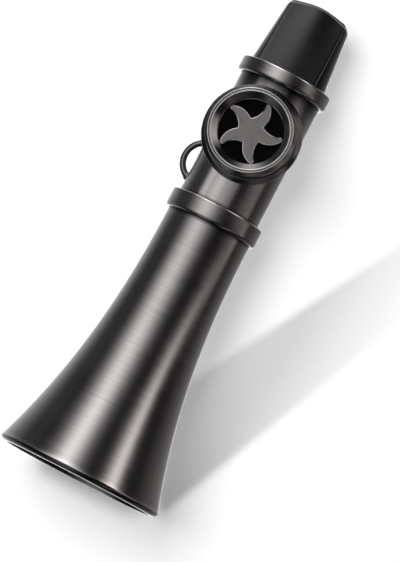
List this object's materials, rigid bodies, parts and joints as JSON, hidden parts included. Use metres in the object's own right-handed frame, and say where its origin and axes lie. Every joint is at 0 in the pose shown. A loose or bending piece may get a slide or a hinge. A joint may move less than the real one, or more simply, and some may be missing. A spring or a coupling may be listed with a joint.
{
  "type": "kazoo",
  "caption": "Metal kazoo with a flared bell, a screw-capped turret with a five-armed star grille, a black mouthpiece and a lanyard loop.",
  "frame": {"origin": "centre of the bell's mouth, in the plane of its rim", "axes": "+Z along the tube from the bell to the mouthpiece, -Y out of the turret, -X towards the lanyard loop"},
  "size_m": [0.0398, 0.0396, 0.12],
  "materials": {
    "gunmetal": "satin, fine lines round the axis",
    "black_moulding": "satin",
    "gasket_rubber": "matte",
    "smoked_film": "gloss",
    "slip_ring_steel": "satin"
  },
  "bodies": {
    "horn": {"bell": "gunmetal", "bell_collar": "gunmetal", "body_tube": "gunmetal", "mouth_collar": "gunmetal", "mouthpiece": "black_moulding", "turret_socket": "gunmetal", "seat_gasket": "gasket_rubber", "membrane_film": "smoked_film", "lanyard_loop": "gunmetal"},
    "cap_carrier": {"slip_ring": "slip_ring_steel"},
    "cap": {"cap_ring": "gunmetal", "star_grille": "gunmetal"}
  },
  "joints": [
    {"name": "cap_lift", "type": "slide", "parent": "horn", "child": "cap_carrier", "axis": [0, -1, 0], "range_m": [0, 0.0015]},
    {"name": "cap_turn", "type": "hinge", "parent": "cap_carrier", "child": "cap", "pos_m": [0, 0, 0.0863], "axis": [0, -1, 0], "range_deg": [0, 900]}
  ],
  "couplings": [
    {"joint": "cap_lift", "follows": "cap_turn", "m_per_rad": 0.000095493}
  ]
}
